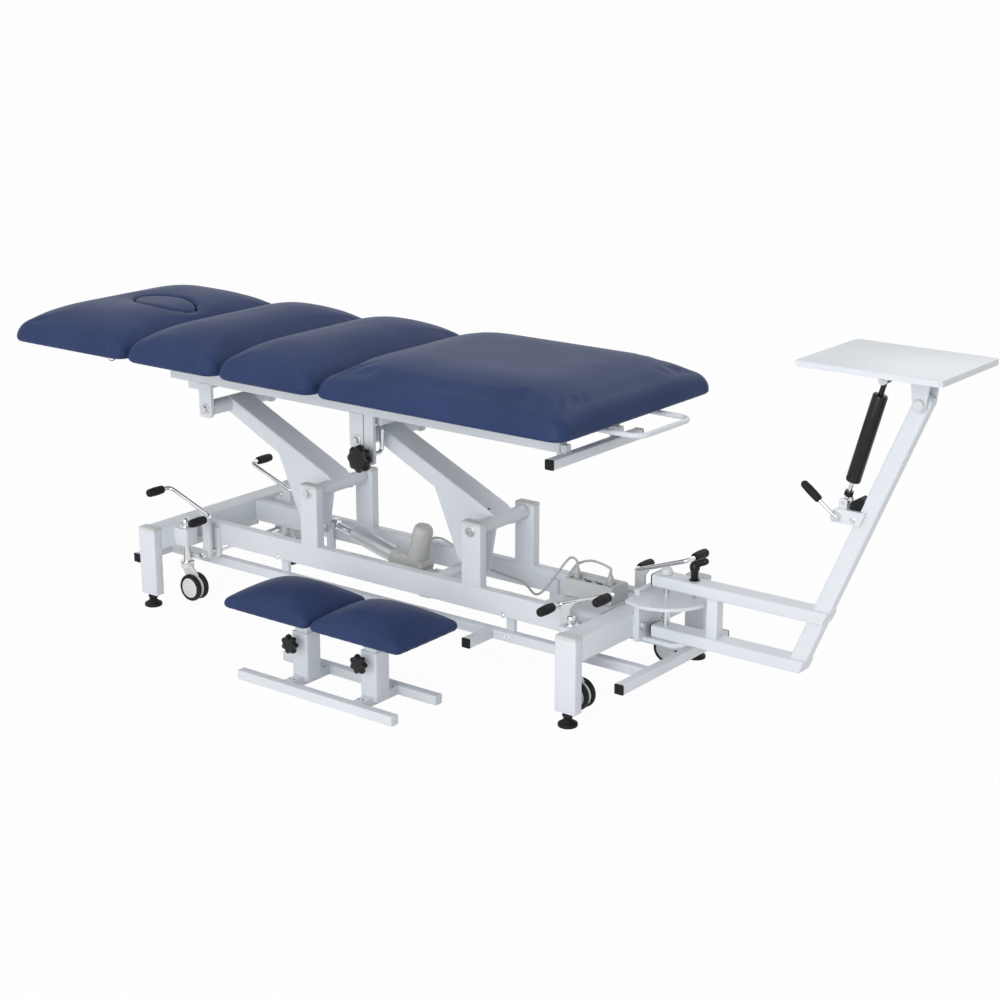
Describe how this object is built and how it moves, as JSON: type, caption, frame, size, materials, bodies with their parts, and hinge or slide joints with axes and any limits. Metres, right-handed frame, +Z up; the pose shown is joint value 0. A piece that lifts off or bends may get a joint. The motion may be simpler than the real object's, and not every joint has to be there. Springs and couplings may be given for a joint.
{
  "type": "electric traction table",
  "caption": "Clinic traction table with sliding padded sections, an electric lift between base and top, pedal-dropped castors, a swing-out unit stand and a low flexion stool",
  "frame": {"origin": "middle of the whole part's box, on the floor", "axes": "+X runs along the table from the head section to the traction stand, +Y across it away from the stool, +Z up"},
  "size_m": [2.6991, 0.886, 0.916],
  "materials": {
    "white_paint": "smooth powder coat, semi-gloss",
    "navy_vinyl": "fine-grained upholstery vinyl",
    "bright_steel": "bright plated",
    "black_plastic": "moulded, glossy",
    "black_rubber": "matte",
    "black_paint": "satin",
    "grey_plastic": "fine texture"
  },
  "bodies": {
    "base": {"base_frame": "white_paint", "end_frame_head": "white_paint", "end_frame_foot": "white_paint", "level_foot_head_front": "black_rubber", "level_foot_head_back": "black_rubber", "level_foot_foot_front": "black_rubber", "level_foot_foot_back": "black_rubber", "lower_axle_head": "bright_steel", "lower_axle_foot": "bright_steel", "actuator_body": "grey_plastic", "control_box": "grey_plastic", "motor_lead": "grey_plastic", "switch_lead": "grey_plastic", "stand_bracket": "white_paint", "swing_pin": "bright_steel"},
    "arm_head": {"lift_arm_head": "white_paint"},
    "arm_foot": {"lift_arm_foot": "white_paint"},
    "rod": {"actuator_rod": "bright_steel"},
    "top": {"top_frame": "white_paint", "upper_axle_head": "bright_steel", "upper_axle_foot": "bright_steel", "thorax_cushion": "navy_vinyl", "lumbar_cushion": "navy_vinyl", "head_hinge_rod": "bright_steel"},
    "lock": {"lock_knob": "black_plastic"},
    "carriage": {"slide_carriage": "white_paint", "pelvic_cushion": "navy_vinyl"},
    "head": {"head_frame": "white_paint", "head_cushion": "navy_vinyl"},
    "plug": {"face_plug": "navy_vinyl"},
    "ring": {"pull_ring": "bright_steel"},
    "pedal_head": {"castor_pedal_head": "bright_steel"},
    "pedal_foot": {"castor_pedal_foot": "bright_steel"},
    "bar": {"foot_bar": "white_paint"},
    "swing": {"swing_arm": "white_paint"},
    "plunger": {"index_plunger": "black_plastic"},
    "platform": {"tilt_platform": "white_paint"},
    "gas_low": {"gas_rod": "bright_steel"},
    "gas_high": {"gas_cylinder": "black_paint"},
    "lever": {"release_lever": "black_plastic"},
    "stool": {"stool_base": "white_paint"},
    "seat_left": {"stool_post_left": "white_paint", "stool_cushion_left": "navy_vinyl"},
    "seat_right": {"stool_post_right": "white_paint", "stool_cushion_right": "navy_vinyl"},
    "knob_left": {"stool_knob_left": "black_plastic"},
    "knob_right": {"stool_knob_right": "black_plastic"},
    "stem_head_front": {"castor_stem_head_front": "bright_steel"},
    "fork_head_front": {"castor_fork_head_front": "black_plastic"},
    "wheel_head_front": {"castor_wheel_head_front": "black_rubber"},
    "stem_head_back": {"castor_stem_head_back": "bright_steel"},
    "fork_head_back": {"castor_fork_head_back": "black_plastic"},
    "wheel_head_back": {"castor_wheel_head_back": "black_rubber"},
    "stem_foot_front": {"castor_stem_foot_front": "bright_steel"},
    "fork_foot_front": {"castor_fork_foot_front": "black_plastic"},
    "wheel_foot_front": {"castor_wheel_foot_front": "black_rubber"},
    "stem_foot_back": {"castor_stem_foot_back": "bright_steel"},
    "fork_foot_back": {"castor_fork_foot_back": "black_plastic"},
    "wheel_foot_back": {"castor_wheel_foot_back": "black_rubber"}
  },
  "joints": [
    {"name": "lift", "type": "hinge", "parent": "base", "child": "arm_head", "pos_m": [-0.4305, 0.122, 0.361], "axis": [0, 1, 0], "range_deg": [-20, 30]},
    {"name": "lift_foot_arm", "type": "hinge", "parent": "base", "child": "arm_foot", "pos_m": [0.1145, 0.122, 0.361], "axis": [0, 1, 0], "range_deg": [-20, 30]},
    {"name": "top_level", "type": "hinge", "parent": "arm_head", "child": "top", "pos_m": [-0.7995, 0.122, 0.535], "axis": [0, 1, 0], "range_deg": [-30, 20]},
    {"name": "actuator_push", "type": "hinge", "parent": "arm_head", "child": "rod", "pos_m": [-0.44888, 0.122, 0.24444], "axis": [0, 1, 0], "range_deg": [-30, 20]},
    {"name": "head_tilt", "type": "hinge", "parent": "top", "child": "head", "pos_m": [-0.9105, 0.122, 0.655], "axis": [0, -1, 0], "range_deg": [0, 45]},
    {"name": "face_plug_lift", "type": "slide", "parent": "head", "child": "plug", "axis": [0, 0, 1], "range_m": [0, 0.12]},
    {"name": "pull_ring_swing", "type": "hinge", "parent": "head", "child": "ring", "pos_m": [-1.1495, -0.016, 0.653], "axis": [1, 0, 0], "range_deg": [-40, 40]},
    {"name": "traction_slide", "type": "slide", "parent": "top", "child": "carriage", "axis": [1, 0, 0], "range_m": [0, 0.1]},
    {"name": "carriage_lock", "type": "hinge", "parent": "top", "child": "lock", "pos_m": [-0.2125, -0.008, 0.5], "axis": [0, 1, 0], "range_deg": [0, 45]},
    {"name": "foot_bar_press", "type": "slide", "parent": "base", "child": "bar", "axis": [0, 0, -1], "range_m": [0, 0.006], "stiffness_N_per_m": 30000, "springref_m": -0.006},
    {"name": "castor_pedal_head_press", "type": "hinge", "parent": "base", "child": "pedal_head", "pos_m": [-0.7775, 0.122, 0.138], "axis": [0, -1, 0], "range_deg": [0, 25]},
    {"name": "castor_drop_head_front", "type": "slide", "parent": "base", "child": "stem_head_front", "axis": [0, 0, -1], "range_m": [0, 0.0188]},
    {"name": "castor_swivel_head_front", "type": "hinge", "parent": "stem_head_front", "child": "fork_head_front", "pos_m": [-0.8205, -0.076, 0.1], "axis": [0, 0, 1], "continuous": true},
    {"name": "castor_roll_head_front", "type": "hinge", "parent": "fork_head_front", "child": "wheel_head_front", "pos_m": [-0.7965, -0.076, 0.0475], "axis": [0, 1, 0], "continuous": true},
    {"name": "castor_drop_head_back", "type": "slide", "parent": "base", "child": "stem_head_back", "axis": [0, 0, -1], "range_m": [0, 0.0188]},
    {"name": "castor_swivel_head_back", "type": "hinge", "parent": "stem_head_back", "child": "fork_head_back", "pos_m": [-0.8205, 0.32, 0.1], "axis": [0, 0, 1], "continuous": true},
    {"name": "castor_roll_head_back", "type": "hinge", "parent": "fork_head_back", "child": "wheel_head_back", "pos_m": [-0.7965, 0.32, 0.0475], "axis": [0, 1, 0], "continuous": true},
    {"name": "castor_pedal_foot_press", "type": "hinge", "parent": "base", "child": "pedal_foot", "pos_m": [0.4325, 0.122, 0.138], "axis": [0, 1, 0], "range_deg": [0, 25]},
    {"name": "castor_drop_foot_front", "type": "slide", "parent": "base", "child": "stem_foot_front", "axis": [0, 0, -1], "range_m": [0, 0.0188]},
    {"name": "castor_swivel_foot_front", "type": "hinge", "parent": "stem_foot_front", "child": "fork_foot_front", "pos_m": [0.4755, -0.076, 0.1], "axis": [0, 0, 1], "continuous": true},
    {"name": "castor_roll_foot_front", "type": "hinge", "parent": "fork_foot_front", "child": "wheel_foot_front", "pos_m": [0.4995, -0.076, 0.0475], "axis": [0, 1, 0], "continuous": true},
    {"name": "castor_drop_foot_back", "type": "slide", "parent": "base", "child": "stem_foot_back", "axis": [0, 0, -1], "range_m": [0, 0.0188]},
    {"name": "castor_swivel_foot_back", "type": "hinge", "parent": "stem_foot_back", "child": "fork_foot_back", "pos_m": [0.4755, 0.32, 0.1], "axis": [0, 0, 1], "continuous": true},
    {"name": "castor_roll_foot_back", "type": "hinge", "parent": "fork_foot_back", "child": "wheel_foot_back", "pos_m": [0.4995, 0.32, 0.0475], "axis": [0, 1, 0], "continuous": true},
    {"name": "stand_swing", "type": "hinge", "parent": "base", "child": "swing", "pos_m": [0.6125, 0.122, 0.2], "axis": [0, 0, 1], "range_deg": [0, 90]},
    {"name": "index_plunger_lift", "type": "slide", "parent": "swing", "child": "plunger", "axis": [0, 0, 1], "range_m": [0, 0.012]},
    {"name": "platform_tilt", "type": "hinge", "parent": "swing", "child": "platform", "pos_m": [1.2475, 0.122, 0.829], "axis": [0, 1, 0], "range_deg": [0, 35]},
    {"name": "gas_rod_turn", "type": "hinge", "parent": "swing", "child": "gas_low", "pos_m": [1.0755, 0.122, 0.582], "axis": [0, 1, 0], "range_deg": [0, 4.2]},
    {"name": "gas_cylinder_turn", "type": "hinge", "parent": "platform", "child": "gas_high", "pos_m": [1.1545, 0.122, 0.868], "axis": [0, 1, 0], "range_deg": [-31, 0]},
    {"name": "release_lever_press", "type": "hinge", "parent": "swing", "child": "lever", "pos_m": [1.0675, 0.089, 0.552], "axis": [0, -1, 0], "range_deg": [0, 12], "stiffness_Nm_per_rad": 2, "springref_deg": -17.19},
    {"name": "stool_place", "type": "slide", "parent": "base", "child": "stool", "axis": [0, -1, 0], "range_m": [0, 0.3]},
    {"name": "stool_height_left", "type": "slide", "parent": "stool", "child": "seat_left", "axis": [0, 0, 1], "range_m": [0, 0.06]},
    {"name": "stool_clamp_left", "type": "hinge", "parent": "stool", "child": "knob_left", "pos_m": [-0.1485, -0.378, 0.116], "axis": [0, 1, 0], "range_deg": [-180, 180]},
    {"name": "stool_height_right", "type": "slide", "parent": "stool", "child": "seat_right", "axis": [0, 0, 1], "range_m": [0, 0.06]},
    {"name": "stool_clamp_right", "type": "hinge", "parent": "stool", "child": "knob_right", "pos_m": [0.0745, -0.378, 0.116], "axis": [0, 1, 0], "range_deg": [-180, 180]}
  ],
  "couplings": [
    {"joint": "lift_foot_arm", "follows": "lift", "ratio": 1},
    {"joint": "top_level", "follows": "lift", "ratio": -1},
    {"joint": "actuator_push", "follows": "lift", "ratio": -1},
    {"joint": "gas_rod_turn", "follows": "platform_tilt", "ratio": 0.118},
    {"joint": "gas_cylinder_turn", "follows": "platform_tilt", "ratio": -0.882},
    {"joint": "castor_drop_head_front", "follows": "castor_pedal_head_press", "m_per_rad": 0.043},
    {"joint": "castor_drop_head_back", "follows": "castor_pedal_head_press", "m_per_rad": 0.043},
    {"joint": "castor_drop_foot_front", "follows": "castor_pedal_foot_press", "m_per_rad": 0.043},
    {"joint": "castor_drop_foot_back", "follows": "castor_pedal_foot_press", "m_per_rad": 0.043}
  ]
}
